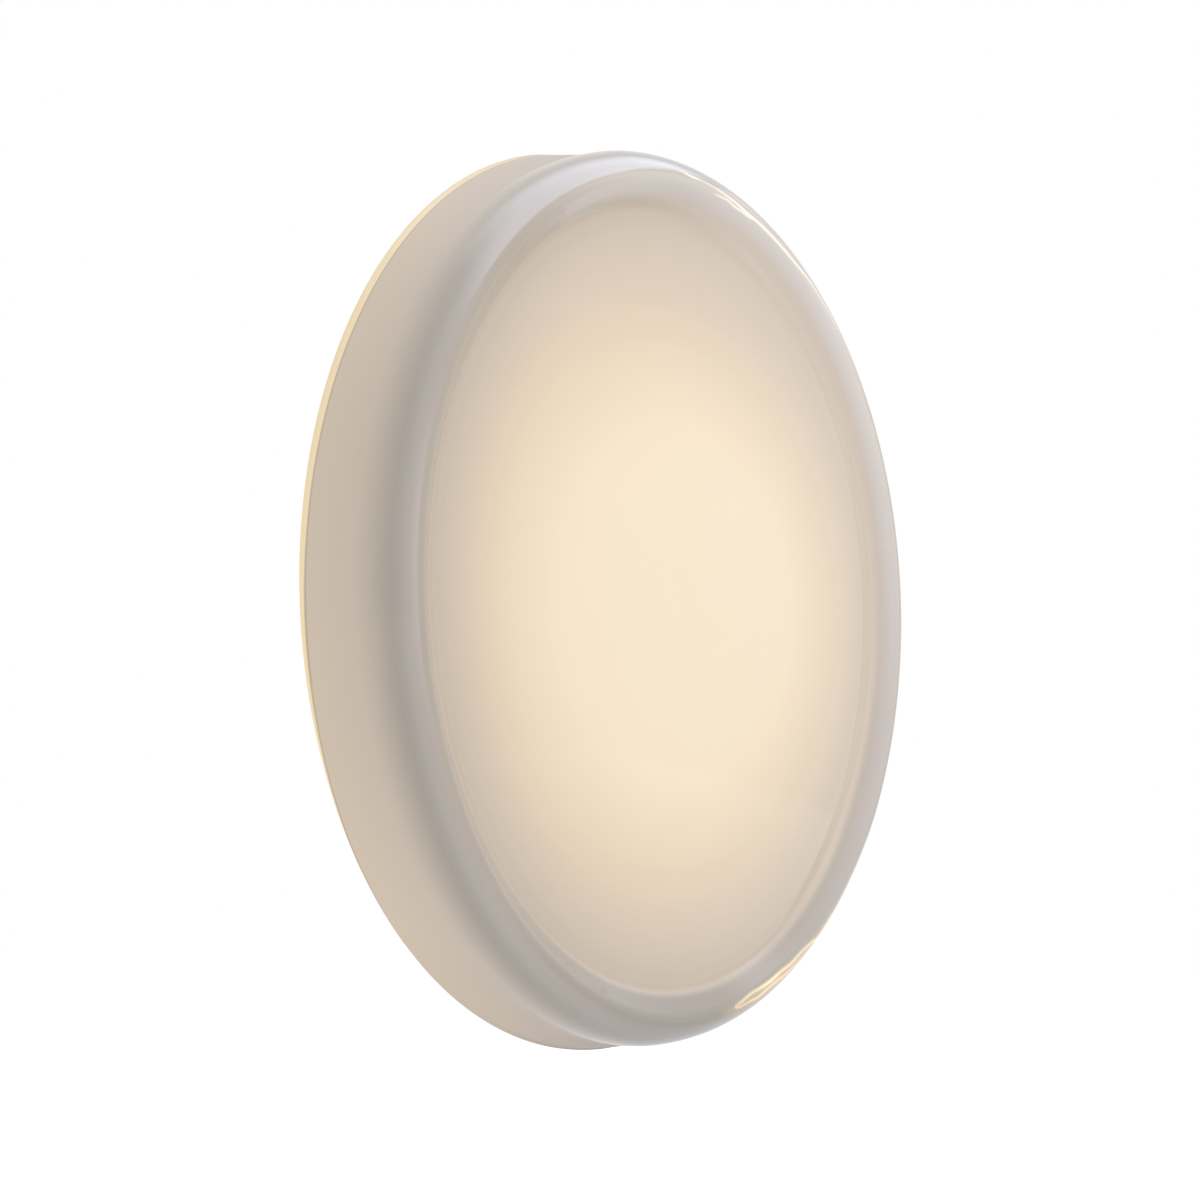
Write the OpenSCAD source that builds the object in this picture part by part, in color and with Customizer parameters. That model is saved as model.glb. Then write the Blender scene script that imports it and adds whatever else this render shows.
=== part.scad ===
// Round wall light: a blown opal glass shade with a rolled rim, over a pressed
// steel wall plate that carries two capsule lamps lying flat behind the glass.
// Millimetres, +Z up. The wall is the plane Y = 0 and the light faces -Y, with
// the origin in the middle of the plate's back.

/* [Glass shade] */
// Radius of the foot, where the glass meets the wall
shade_r = 175; // [168:1:190]
// Thickness of the glass
glass_t = 4.5; // [3.5:0.1:5]
// Gap between the foot and the wall
wall_gap = 0.5; // [0.3:0.1:1.5]
// Height of the ground band round the foot
foot_band = 2.3; // [1.5:0.1:4]
// Step from the ground band in to the side wall
band_step = 0.5; // [0.2:0.1:1]
// How far the side wall leans in, in degrees
side_lean = 10; // [8:1:16]
// Radius of the shallow waist behind the rim
waist_r = 32; // [20:1:40]
// How much smaller the rim is than the foot, on radius
rim_inset = 3; // [2:0.5:3.5]
// Radius of the rolled rim's outer bend
roll_r = 17.6; // [15:0.2:20]
// Distance of the rim's widest line from the wall
rim_z = 28.7; // [26:0.1:34]
// Angle at which the outer bend meets the crest, in degrees
crest_start = 54; // [45:1:65]
// Radius of the rim's crest
crest_r = 5.3; // [5.1:0.1:8]
// Distance of the crease inside the foot's radius
crease_inset = 24.7; // [23:0.1:30]
// Distance of the crease from the wall
crease_z = 36.9; // [34:0.1:39]
// Rise of the domed face above the crease
dome_rise = 12.3; // [6:0.1:24]
// Width of the lip turned in at the foot
lip_w = 13; // [11:0.5:16]
// Thickness of that lip
lip_t = 5; // [4:0.1:6]

/* [Wall plate] */
// Thickness of the plate's sheet steel
plate_t = 1.2; // [0.8:0.1:1.6]
// Gap between the plate's edge and the glass lip
plate_gap = 3.5; // [2.5:0.1:6]
// Height of the plate's turned edge
edge_h = 5; // [3.5:0.1:6]
// Width of the plate's flat foot ring
ring_w = 22; // [18:1:28]
// Width of the slope from the foot ring up to the pan
pan_slope = 6; // [4:0.5:10]
// Height of the pan's back above the wall
pan_h = 6; // [4.5:0.1:8]
// Radius of the sheet's bends, inside
bend_r = 1.2; // [0.6:0.1:2]
// Width of the wall screw slots
slot_w = 5.2; // [4.2:0.1:6.2]
// Length of the wall screw slots, end to end
slot_l = 11; // [8:0.5:14]
// Distance of the slots' middle from the plate's edge
slot_inset = 11.5; // [10:0.5:13]

/* [Edge gasket] */
// Clearance between the gasket and the glass
gasket_gap = 0.4; // [0.3:0.1:1]
// Height of the gasket band
gasket_h = 3.4; // [2:0.1:4.4]

/* [Retaining springs] */
// Number of springs round the plate
spring_count = 3; // [3:1:4]
// Width of a spring
spring_w = 16; // [12:1:22]
// Thickness of the spring strip
spring_t = 0.5; // [0.4:0.1:0.8]
// How far a spring's nose reaches over the lip
spring_bite = 2.6; // [1.5:0.1:3.2]
// Gap between a nose and the lip at rest
spring_gap = 0.25; // [0.1:0.05:0.4]
// Length of a spring's flat foot
spring_foot = 13; // [11:1:18]
// Rise of the spring's arm above the pan
spring_rise = 5.5; // [4:0.5:8]
// Radius of the rivets' shanks
rivet_r = 1.6; // [1.2:0.1:2]
// Spacing of the two rivets in one spring
rivet_pitch = 8; // [7:0.5:10]

/* [Lamps] */
// Radius of a capsule's bulb
bulb_r = 6.5; // [5.5:0.1:8]
// Thickness of the bulb's glass
bulb_t = 0.9; // [0.7:0.1:1.2]
// Length of the bulb's straight tube
bulb_l = 22; // [16:1:30]
// Width of the flat pinch below the bulb
pinch_w = 13.4; // [12:0.2:14.5]
// Thickness of the pinch
pinch_t = 4; // [3:0.1:5]
// Length of the pinch
pinch_l = 15; // [12:0.5:18]
// Spacing of a lamp's two pins
pin_pitch = 9; // [8:0.5:10]
// Radius of the pin wire
pin_wire_r = 0.45; // [0.35:0.05:0.5]
// Half width of a pin's loop, between wire middles
pin_loop = 0.85; // [0.7:0.05:0.95]
// Length that the pins stand out of the pinch
pin_l = 6.5; // [5:0.5:7.5]
// Radius of the filament's coil
coil_r = 0.6; // [0.4:0.1:0.9]
// Length of the bulb left free at each end of the coil
coil_end = 3; // [2:0.5:4]
// Distance of the lamps' axis from the wall
lamp_z = 24; // [22:0.5:28]

/* [Lamp holders] */
// Length of a ceramic holder
holder_l = 22; // [20:0.5:28]
// Height of a holder, along the pins' row
holder_w = 22; // [20:0.5:26]
// Depth of a holder, out from the wall
holder_d = 14; // [13:0.5:18]
// Depth of the recess that takes the lamp's pinch
recess_d = 6; // [4:0.5:7]
// Clearance round the pinch in that recess
recess_gap = 0.6; // [0.4:0.1:1]
// Length of a brass contact
contact_l = 8; // [7:0.5:9]
// Wall of a contact
contact_wall = 0.35; // [0.25:0.05:0.5]
// Distance of a holder's screws from its long edges
holder_screw_in = 2.8; // [2.6:0.1:3.2]

/* [Lamp bracket] */
// Thickness of the bracket's steel
bracket_t = 1; // [0.8:0.1:1.5]
// Gap between the bracket's two uprights
bracket_gap = 18; // [16:0.5:24]
// Width of the bracket
bracket_w = 26; // [24:1:34]
// Length of each foot of the bracket
bracket_foot = 14; // [11:1:20]
// Height of the uprights above the lamps' axis
upright_over = 9.5; // [9:0.5:12]
// Radius of the wire window in each upright
window_r = 6.6; // [6:0.1:6.8]

/* [Terminal block] */
// Spacing of the block's three poles
pole_pitch = 11; // [10:0.5:13]
// Length of the block along a pole
block_l = 16; // [14:1:20]
// Height of the block's body
block_h = 11; // [10.5:0.5:14]
// Distance of the block below the lamps' axis
block_drop = 52; // [48:1:62]
// Inner radius of the brass sleeves
sleeve_r = 2.35; // [2.2:0.05:2.5]
// Wall of the brass sleeves
sleeve_t = 0.9; // [0.7:0.1:1]

/* [Cable entry] */
// Distance of the entry below the lamps' axis
entry_drop = 90; // [82:1:100]
// Radius of the cable's way through the grommet
entry_r = 4.5; // [3.5:0.1:6]
// Wall of the grommet's neck
grommet_t = 2; // [1.5:0.1:3]

/* [Screws and leads] */
// Radius of the bracket and earth screws
screw_r = 2; // [1.5:0.1:2.5]
// Length of those screws below their heads
screw_l = 5; // [4:0.5:5.5]
// Radius of the holders' screws
small_screw_r = 1.5; // [1.2:0.1:1.6]
// Radius of an insulated lead
lead_r = 1; // [0.8:0.05:1.1]
// Distance of the earth screw right of the middle
earth_x = 42; // [34:1:60]
// Distance of the earth screw below the lamps' axis
earth_drop = 62; // [54:1:74]
// Straight run of the earth lead out of the block
earth_run = 6; // [4:0.5:8]
// Depth of the earth lead's loop below the block
earth_loop = 13; // [10:0.5:15]

/* [Hidden] */

fit_gap = 0.1;        // clearance of a screw, rivet or sleeve in its hole
through = 1;          // how far a cutting shape runs past what it cuts
face_steps = 14;      // steps across the domed face
bend_steps = 4;       // steps round a small bend

// Glass section. Points are [radius, distance from the wall].
lip_r = shade_r - lip_w;
foot_top = wall_gap + foot_band;
lip_top = wall_gap + lip_t;
edge_round = 0.6;
side_from = [shade_r - band_step, foot_top + band_step / 2];
roll_c = [shade_r - rim_inset - roll_r, rim_z];
crease_p = [shade_r - crease_inset, crease_z];
dome_r = (pow(crease_p[0], 2) + pow(dome_rise, 2)) / (2 * dome_rise);
dome_c = [0, crease_z + dome_rise - dome_r];
dome_edge = atan2(crease_p[1] - dome_c[1], crease_p[0]);
apex_z = crease_z + dome_rise;

// The waist arc touches the leaning side wall and the rim's outer bend
side_dir = [-sin(side_lean), cos(side_lean)];
side_out = [cos(side_lean), sin(side_lean)];
side_off = side_from + waist_r * side_out - roll_c;
side_run = -side_off * side_dir - sqrt(pow(side_off * side_dir, 2) - side_off * side_off
    + pow(roll_r + waist_r, 2));
waist_c = side_from + side_run * side_dir + waist_r * side_out;
waist_end = atan2(waist_c[1] - roll_c[1], waist_c[0] - roll_c[0]);

// The crest's small bend follows the outer one, then runs straight to the crease
crest_c = roll_c + (roll_r - crest_r) * polar(crest_start);
crest_to_crease = crease_p - crest_c;
crest_end = 360 + atan2(crest_to_crease[1], crest_to_crease[0])
    - acos(crest_r / norm(crest_to_crease));

// Wall plate levels and radii
plate_r = lip_r - plate_gap;
ring_r = plate_r - ring_w;
pan_r = ring_r - pan_slope;
pan_top = pan_h + plate_t;
slot_x = plate_r - slot_inset;

// Bracket, holders and lamps, all from the lamps' axis
upright_x = bracket_gap / 2;
holder_x = upright_x + bracket_t;
mouth_x = holder_x + holder_l;
pinch_seat = 0.4;     // from the recess's floor to the pinch
pin_gap = 0.15;       // clearance round a pin in its contact
pinch_x = mouth_x - recess_d + pinch_seat;
bulb_x = pinch_x + pinch_l;
contact_r = pin_loop + pin_wire_r + pin_gap;
bracket_top = lamp_z + upright_over;
bracket_screw_x = holder_x + (bracket_foot + bracket_t) / 2 + fit_gap;
holder_screw_y = holder_w / 2 - holder_screw_in;
holder_screw_z = holder_d / 2 - holder_screw_in + 2 * fit_gap;

// Terminal block
pole_z = pan_top + 6.3;
block_top = pan_top + block_h;
block_w = 3 * pole_pitch + 1;
terminal_y = block_l / 4;
terminal_r = 1.3;
terminal_head_r = 1.8;
block_seat = 1.5;     // floor of the block under its fixing screw's head

function polar(a) = [cos(a), sin(a)];
function unit(v) = v / norm(v);
function left_of(v) = [-v[1], v[0]];

// Points of an arc round c, from angle a0 to angle a1
function arc(c, r, a0, a1, n) = [for (i = [0 : n]) c + r * polar(a0 + (a1 - a0) * i / n)];

// A path whose corners are rounded, each starting s before the corner
function corner(a, b, c, s, n) = let (p = b + s * unit(a - b), q = b + s * unit(c - b))
    [for (i = [0 : n]) let (t = i / n) (1 - t) * (1 - t) * p + 2 * t * (1 - t) * b + t * t * q];
function rounded(p, s, n = bend_steps) = concat([p[0]],
    [for (i = [1 : len(p) - 2]) each corner(p[i - 1], p[i], p[i + 1], s, n)], [p[len(p) - 1]]);

// Outline of a bent strip of thickness t along the flat path p
function beside(p, i, h) = let (
        a = unit(p[max(i, 1)] - p[max(i, 1) - 1]),
        b = unit(p[min(i, len(p) - 2) + 1] - p[min(i, len(p) - 2)]),
        m = unit(left_of(a) + left_of(b)))
    p[i] + m * h / (m * left_of(a));
function strip(p, t) = concat([for (i = [0 : len(p) - 1]) beside(p, i, t / 2)],
    [for (i = [len(p) - 1 : -1 : 0]) beside(p, i, -t / 2)]);

// Everything is drawn with its depth along +Z, then turned to hang on the wall
module on_wall() {
    rotate([90, 0, 0]) children();
}

// Puts a copy on each side of the middle, the second one turned round
module both_sides() {
    for (a = [0, 180]) rotate([0, 0, a]) children();
}

// A round tube swept along a path, with square cut ends
module tube(p, r, sides = 8) {
    n = len(p);
    dirs = [for (i = [0 : n - 1]) unit(p[min(i + 1, n - 1)] - p[max(i - 1, 0)])];
    start = unit(cross(dirs[0], [0.31, 0.23, 0.92]));
    ups = [for (i = 0, u = start; i < n; i = i + 1,
        u = i < n ? unit(u - (u * dirs[i]) * dirs[i]) : u) u];
    rings = [for (i = [0 : n - 1], k = [0 : sides - 1]) let (a = 360 * k / sides)
        p[i] + r * (cos(a) * ups[i] + sin(a) * cross(dirs[i], ups[i]))];
    walls = [for (i = [0 : n - 2], k = [0 : sides - 1]) let (j = (k + 1) % sides)
        [i * sides + k, (i + 1) * sides + k, (i + 1) * sides + j, i * sides + j]];
    ends = [[for (k = [0 : sides - 1]) k], [for (k = [sides - 1 : -1 : 0]) (n - 1) * sides + k]];
    polyhedron(rings, concat(walls, ends), convexity = 6);
}

// A pan head screw, with its head standing on z = 0 and its shank below
module pan_screw(r, l, slotted = false) {
    head_r = 1.9 * r;
    head_h = 1.2 * r;
    difference() {
        union() {
            cylinder(r = head_r, h = head_h - 0.25 * r, $fn = 32);
            translate([0, 0, head_h - 0.25 * r])
                cylinder(r1 = head_r, r2 = head_r - 0.4 * r, h = 0.25 * r, $fn = 32);
            translate([0, 0, -l]) cylinder(r = r, h = l + 0.1, $fn = 24);
        }
        for (a = slotted ? [0] : [0, 90]) rotate([0, 0, a])
            translate([-(slotted ? head_r + through : 1.1 * r), -0.2 * r, head_h - 0.6 * r])
                cube([2 * (slotted ? head_r + through : 1.1 * r), 0.4 * r, r]);
    }
}

function glass_outside() = concat(
    [[shade_r - edge_round, wall_gap], [shade_r, wall_gap + edge_round], [shade_r, foot_top], side_from],
    arc(waist_c, waist_r, 180 + side_lean, 180 + waist_end, 6),
    arc(roll_c, roll_r, waist_end, crest_start, 10),
    [for (i = [1 : 6]) crest_c + crest_r * polar(crest_start + (crest_end - crest_start) * i / 6)],
    arc(dome_c, dome_r, dome_edge, 90, face_steps));

// The inside keeps the glass's thickness behind every bend, down to the lip
function glass_inside() = let (
        wall_in = side_from - glass_t * side_out,
        wall_foot = wall_in + (lip_top - wall_in[1]) / side_dir[1] * side_dir)
    concat(
    arc(dome_c, dome_r - glass_t, 90, dome_edge, face_steps),
    [for (i = [1 : 5]) crease_p - glass_t * polar(dome_edge + (crest_end - dome_edge) * i / 5)],
    arc(crest_c, crest_r - glass_t, crest_end, crest_start, 3),
    [for (i = [1 : 9]) roll_c + (roll_r - glass_t) * polar(crest_start + (waist_end - crest_start) * i / 9)],
    [for (i = [1 : 6]) waist_c + (waist_r + glass_t) * polar(180 + waist_end
        + (side_lean - waist_end) * i / 6)],
    corner(wall_in, wall_foot, [lip_r, lip_top], 1.5, 3),
    [[lip_r + edge_round, lip_top], [lip_r, lip_top - edge_round],
        [lip_r, wall_gap + edge_round], [lip_r + edge_round, wall_gap]]);

// Blown in one piece: lip, foot, side wall with its waist, rolled rim, crease and dome
module glass_shade() {
    color("antiquewhite") on_wall()
        rotate_extrude($fn = 128) polygon(concat(glass_outside(), glass_inside()));
}

// The plate's section, from the middle out to the turned edge
function plate_path() = let (h = plate_t / 2) rounded([[0, pan_h + h], [pan_r, pan_h + h],
    [ring_r, h], [plate_r - h, h], [plate_r - h, edge_h]], bend_r + h);

module spring_places() {
    for (i = [0 : spring_count - 1]) rotate([0, 0, 90 + 360 * i / spring_count]) children();
}

module rivet_places() {
    spring_places() for (s = [-1, 1])
        translate([pan_r - spring_foot / 2 - bend_r, s * rivet_pitch / 2, 0]) children();
}

module bracket_screw_places() {
    for (s = [-1, 1]) translate([s * bracket_screw_x, 0, 0]) children();
}

// Pressed from one sheet: pan, slope, foot ring and turned edge, then pierced
module wall_plate() {
    color("whitesmoke") on_wall() difference() {
        rotate_extrude($fn = 128) polygon(strip(plate_path(), plate_t));
        both_sides() for (e = [-1, 1])
            translate([slot_x + e * (slot_l - slot_w) / 2, 0, -through])
                cylinder(d = slot_w, h = plate_t + 2 * through, $fn = 32);
        both_sides() translate([slot_x - (slot_l - slot_w) / 2, -slot_w / 2, -through])
            cube([slot_l - slot_w, slot_w, plate_t + 2 * through]);
        translate([0, 0, pan_h - through]) {
            cut = plate_t + 2 * through;
            translate([0, -entry_drop, 0])
                cylinder(r = entry_r + grommet_t + fit_gap, h = cut, $fn = 48);
            rivet_places() cylinder(r = rivet_r + fit_gap, h = cut, $fn = 24);
            bracket_screw_places() cylinder(r = screw_r + fit_gap, h = cut, $fn = 24);
            translate([earth_x, -earth_drop, 0])
                cylinder(r = screw_r + fit_gap, h = cut, $fn = 24);
            translate([pole_pitch / 2, -block_drop, 0])
                cylinder(r = small_screw_r + fit_gap, h = cut, $fn = 24);
        }
    }
}

// Silicone band round the plate's edge, which centres the glass lip
module edge_gasket() {
    color("gainsboro") on_wall() translate([0, 0, wall_gap + edge_round])
        rotate_extrude($fn = 128)
            polygon([[plate_r, 0], [lip_r - gasket_gap - 0.6, 0], [lip_r - gasket_gap, 0.8],
                [lip_r - gasket_gap, gasket_h - 0.8], [lip_r - gasket_gap - 0.6, gasket_h],
                [plate_r, gasket_h]]);
}

// The spring's flat foot lies on the pan, its arm bows out over the plate's edge
// and its nose presses the glass lip to the wall
function spring_path() = let (h = spring_t / 2, nose_z = lip_top + spring_gap + h) rounded([
    [pan_r - bend_r - spring_foot, pan_top + h], [pan_r - bend_r, pan_top + h],
    [ring_r + 3, pan_top + spring_rise], [lip_r - 5, pan_top + spring_rise - 0.5],
    [lip_r + spring_bite - 0.6, nose_z - 0.35], [lip_r + spring_bite + 1.2, nose_z + 1.9]], 1.6);

module retaining_springs() {
    color("silver") on_wall() spring_places() difference() {
        translate([0, spring_w / 2, 0]) rotate([90, 0, 0])
            linear_extrude(height = spring_w) polygon(strip(spring_path(), spring_t));
        for (s = [-1, 1])
            translate([pan_r - spring_foot / 2 - bend_r, s * rivet_pitch / 2, pan_top - through])
                cylinder(r = rivet_r + fit_gap, h = spring_t + 2 * through, $fn = 24);
    }
}

// Each rivet clamps a spring's foot to the pan, with its tail set over behind
module spring_rivets() {
    head_h = 0.8;
    color("silver") on_wall() rivet_places() {
        translate([0, 0, pan_top + spring_t])
            cylinder(r1 = 1.9 * rivet_r, r2 = 1.4 * rivet_r, h = head_h, $fn = 24);
        translate([0, 0, pan_h - head_h])
            cylinder(r = rivet_r, h = plate_t + spring_t + 1.5 * head_h, $fn = 24);
        translate([0, 0, pan_h - head_h]) cylinder(r = 1.6 * rivet_r, h = head_h, $fn = 24);
    }
}

// Pressed steel: a foot and an upright on each side, joined by the bridge on top
module lamp_bracket() {
    h = bracket_t / 2;
    path = rounded([[holder_x + bracket_foot, pan_top + h], [upright_x + h, pan_top + h],
        [upright_x + h, bracket_top]], bracket_t + h);
    color("silver") on_wall() difference() {
        union() {
            both_sides() translate([0, bracket_w / 2, 0]) rotate([90, 0, 0])
                linear_extrude(height = bracket_w) polygon(strip(path, bracket_t));
            translate([-holder_x, -bracket_w / 2, bracket_top - bracket_t])
                cube([2 * holder_x, bracket_w, bracket_t]);
        }
        bracket_screw_places() translate([0, 0, pan_top - through])
            cylinder(r = screw_r + fit_gap, h = bracket_t + 2 * through, $fn = 24);
        translate([-holder_x - through, 0, lamp_z]) rotate([0, 90, 0])
            cylinder(r = window_r, h = 2 * (holder_x + through), $fn = 48);
        both_sides() holder_screw_places() translate([-bracket_t - through, 0, 0])
            rotate([0, 90, 0]) cylinder(r = small_screw_r + fit_gap, h = bracket_t + 2 * through, $fn = 24);
    }
}

module bracket_screws() {
    color("silver") on_wall() bracket_screw_places()
        translate([0, 0, pan_top + bracket_t]) pan_screw(screw_r, screw_l);
}

// The two screws of one holder sit at opposite corners of its back
module holder_screw_places() {
    for (s = [-1, 1]) translate([holder_x, s * holder_screw_y, lamp_z + s * holder_screw_z]) children();
}

module holder_screws() {
    color("silver") on_wall() both_sides() holder_screw_places()
        translate([-bracket_t, 0, 0]) rotate([0, -90, 0]) pan_screw(small_screw_r, screw_l, true);
}

// Pressed steatite block with a recess for the pinch and a through hole for each pin
module lamp_holders() {
    color("white") on_wall() both_sides() difference() {
        union() {
            translate([holder_x, -holder_w / 2, lamp_z - holder_d / 2])
                cube([holder_l - 4, holder_w, holder_d]);
            translate([holder_x, -pinch_w / 2 - 2.5, lamp_z - holder_d / 2])
                cube([holder_l, pinch_w + 5, holder_d]);
        }
        translate([mouth_x - recess_d, -pinch_w / 2 - recess_gap, lamp_z - pinch_t / 2 - recess_gap])
            cube([recess_d + through, pinch_w + 2 * recess_gap, pinch_t + 2 * recess_gap]);
        for (s = [-1, 1]) translate([holder_x - through, s * pin_pitch / 2, lamp_z])
            rotate([0, 90, 0])
                cylinder(r = contact_r + contact_wall + fit_gap, h = holder_l, $fn = 32);
        holder_screw_places() translate([-through, 0, 0]) rotate([0, 90, 0])
            cylinder(r = small_screw_r + fit_gap, h = screw_l + 2 * through, $fn = 24);
    }
}

// Split brass sleeves that grip the looped pins
module socket_contacts() {
    color("goldenrod") on_wall() both_sides() for (s = [-1, 1])
        translate([mouth_x - recess_d - contact_l, s * pin_pitch / 2, lamp_z]) rotate([0, 90, 0])
            difference() {
                cylinder(r = contact_r + contact_wall, h = contact_l, $fn = 32);
                translate([0, 0, -through]) cylinder(r = contact_r, h = contact_l + 2 * through, $fn = 32);
                translate([-0.4, 0, 1.5]) cube([0.8, contact_r + contact_wall + through, contact_l]);
            }
}

// Fused silica bulb, sealed by its flat pinch
module lamp_capsules() {
    press_w = 2.6;
    press_d = 0.4;
    bulb = concat([[0, -bulb_t], [bulb_r - 1.5, -bulb_t], [bulb_r, 0.8]],
        arc([0, bulb_l], bulb_r, 0, 80, 6), [[0.9, bulb_l + bulb_r + 1.4], [0, bulb_l + bulb_r + 2]]);
    hollow = concat([[0, 0], [bulb_r - bulb_t - 0.6, 0], [bulb_r - bulb_t, 0.9]],
        arc([0, bulb_l], bulb_r - bulb_t, 0, 90, 6));
    color("aliceblue") on_wall() both_sides() union() {
        translate([bulb_x, 0, lamp_z]) rotate([0, 90, 0]) difference() {
            rotate_extrude($fn = 48) polygon(bulb);
            rotate_extrude($fn = 48) polygon(hollow);
        }
        difference() {
            translate([pinch_x, -pinch_w / 2, lamp_z - pinch_t / 2])
                cube([pinch_l - bulb_t / 2, pinch_w, pinch_t]);
            for (s = [-1, 1]) translate([pinch_x + pinch_l / 3, -pinch_w / 4 * s - press_w / 2,
                lamp_z + s * (pinch_t / 2 - press_d + through / 2) - through / 2])
                cube([pinch_l / 2, press_w, through]);
        }
    }
}

// Looped nickel wire pins, two to a lamp, standing out of the pinch
module lamp_pins() {
    run = pin_l - pin_loop;
    cut = pin_loop + pin_wire_r + through;
    color("silver") on_wall() both_sides() for (s = [-1, 1])
        translate([pinch_x - run, s * pin_pitch / 2, lamp_z]) {
            for (e = [-1, 1]) translate([0, 0, e * pin_loop]) rotate([0, 90, 0])
                cylinder(r = pin_wire_r, h = run, $fn = 16);
            rotate([90, 0, 0]) intersection() {
                rotate_extrude($fn = 32) translate([pin_loop, 0]) circle(r = pin_wire_r, $fn = 16);
                translate([-cut, -cut, -cut]) cube([cut, 2 * cut, 2 * cut]);
            }
        }
}

// Coiled tungsten filament on its two feed wires
module lamp_filaments() {
    feed_r = coil_r / 2;
    feed_y = bulb_r / 3;
    coil_l = bulb_l - coil_end;
    far_x = coil_end + coil_l - feed_r;
    color("dimgray") on_wall() both_sides() translate([bulb_x, 0, lamp_z]) {
        translate([coil_end, 0, 0]) rotate([0, 90, 0]) cylinder(r = coil_r, h = coil_l, $fn = 16);
        rotate([0, 90, 0]) cylinder(r = feed_r, h = coil_end + feed_r, $fn = 16);
        translate([far_x - feed_r, -feed_y, 0]) rotate([0, 90, 90])
            cylinder(r = feed_r, h = feed_y, $fn = 16);
        translate([0, -feed_y, 0]) rotate([0, 90, 0]) cylinder(r = feed_r, h = far_x, $fn = 16);
    }
}

module pole_places() {
    for (i = [-1 : 1]) translate([i * pole_pitch, -block_drop, 0]) children();
}

module terminal_places() {
    pole_places() for (s = [-1, 1]) translate([0, s * terminal_y, 0]) children();
}

// Moulded three pole block: a low base with a tower over each clamping screw
module terminal_block() {
    tower_r = terminal_head_r + 1.3;
    tower_h = 2.4;
    color("ivory") on_wall() difference() {
        union() {
            pole_places() translate([-pole_pitch / 2 + 0.6, -block_l / 2, pan_top])
                cube([pole_pitch - 1.2, block_l, block_h]);
            translate([-block_w / 2 + 0.5, -block_drop - block_l / 2 + 2.5, pan_top])
                cube([block_w - 1, block_l - 5, block_h / 2]);
            terminal_places() translate([0, 0, block_top - through])
                cylinder(r = tower_r, h = tower_h + through, $fn = 32);
        }
        pole_places() translate([0, block_l / 2 + through, pole_z]) rotate([90, 0, 0])
            cylinder(r = sleeve_r + sleeve_t + fit_gap, h = block_l + 2 * through, $fn = 32);
        terminal_places() translate([0, 0, pole_z])
            cylinder(r = terminal_head_r + fit_gap, h = block_h + tower_h, $fn = 32);
        translate([pole_pitch / 2, -block_drop, pan_top - through])
            cylinder(r = small_screw_r + fit_gap, h = block_h, $fn = 24);
        translate([pole_pitch / 2, -block_drop, pan_top + block_seat])
            cylinder(r = 1.9 * small_screw_r + 0.3, h = block_h, $fn = 32);
    }
}

module terminal_sleeves() {
    sleeve_l = block_l - 3;
    color("goldenrod") on_wall() difference() {
        pole_places() translate([0, sleeve_l / 2, pole_z]) rotate([90, 0, 0]) difference() {
            cylinder(r = sleeve_r + sleeve_t, h = sleeve_l, $fn = 32);
            translate([0, 0, -through]) cylinder(r = sleeve_r, h = sleeve_l + 2 * through, $fn = 32);
        }
        terminal_places() translate([0, 0, pole_z])
            cylinder(r = terminal_r + fit_gap, h = block_h, $fn = 24);
    }
}

// Clamping screws, run down onto the leads
module terminal_screws() {
    tip_z = pole_z + lead_r + 0.2;
    top_z = block_top + 1.6;
    color("goldenrod") on_wall() terminal_places() difference() {
        union() {
            translate([0, 0, tip_z]) cylinder(r = terminal_r, h = top_z - tip_z, $fn = 24);
            translate([0, 0, top_z - 2.4]) cylinder(r = terminal_head_r, h = 2.4, $fn = 24);
        }
        translate([-terminal_head_r - through, -0.3, top_z - 1])
            cube([2 * (terminal_head_r + through), 0.6, 2]);
    }
}

module block_screw() {
    color("silver") on_wall() translate([pole_pitch / 2, -block_drop, pan_top + block_seat])
        pan_screw(small_screw_r, block_seat + screw_l);
}

// Rubber grommet that grips the edge of the plate's cable hole
module cable_grommet() {
    flange = grommet_t + 2;
    flange_h = 1.8;
    color("dimgray") on_wall() translate([0, -entry_drop, pan_h - flange_h]) rotate_extrude($fn = 48)
        polygon([[entry_r, 0], [entry_r + flange - 0.8, 0], [entry_r + flange, 0.8],
            [entry_r + flange, flange_h], [entry_r + grommet_t, flange_h],
            [entry_r + grommet_t, flange_h + plate_t], [entry_r + flange, flange_h + plate_t],
            [entry_r + flange, 2 * flange_h + plate_t - 0.8],
            [entry_r + flange - 0.8, 2 * flange_h + plate_t], [entry_r, 2 * flange_h + plate_t]]);
}

// Lead ends: in a pole of the block, and at a holder's contact
lead_y0 = -block_drop + 3;
side_by_side = lead_r + 0.1;
contact_x = mouth_x - recess_d - contact_l - 0.2;

function pole_end(x) = [[x, lead_y0, pole_z], [x, lead_y0 + 12, pole_z]];
function holder_end(s, t) = [[s * (upright_x - 3), t * pin_pitch / 2, lamp_z],
    [s * contact_x, t * pin_pitch / 2, lamp_z]];

// Both live leads leave the right pole, and one crosses over to the left lamp
module live_leads() {
    color("saddlebrown") on_wall() {
        tube(rounded(concat(pole_end(pole_pitch - side_by_side), [[6, -21, pan_top + 4],
            [5, 1, pan_top + 5], [4.4, 4.6, lamp_z - 5]], holder_end(1, 1)), 2, 3), lead_r);
        tube(rounded(concat(pole_end(pole_pitch + side_by_side), [[7, -24, pan_top + 10.5],
            [0, -14, pan_top + 13], [-4, 1, pan_top + 13.2]], holder_end(-1, 1)), 1.6, 3), lead_r);
    }
}

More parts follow.
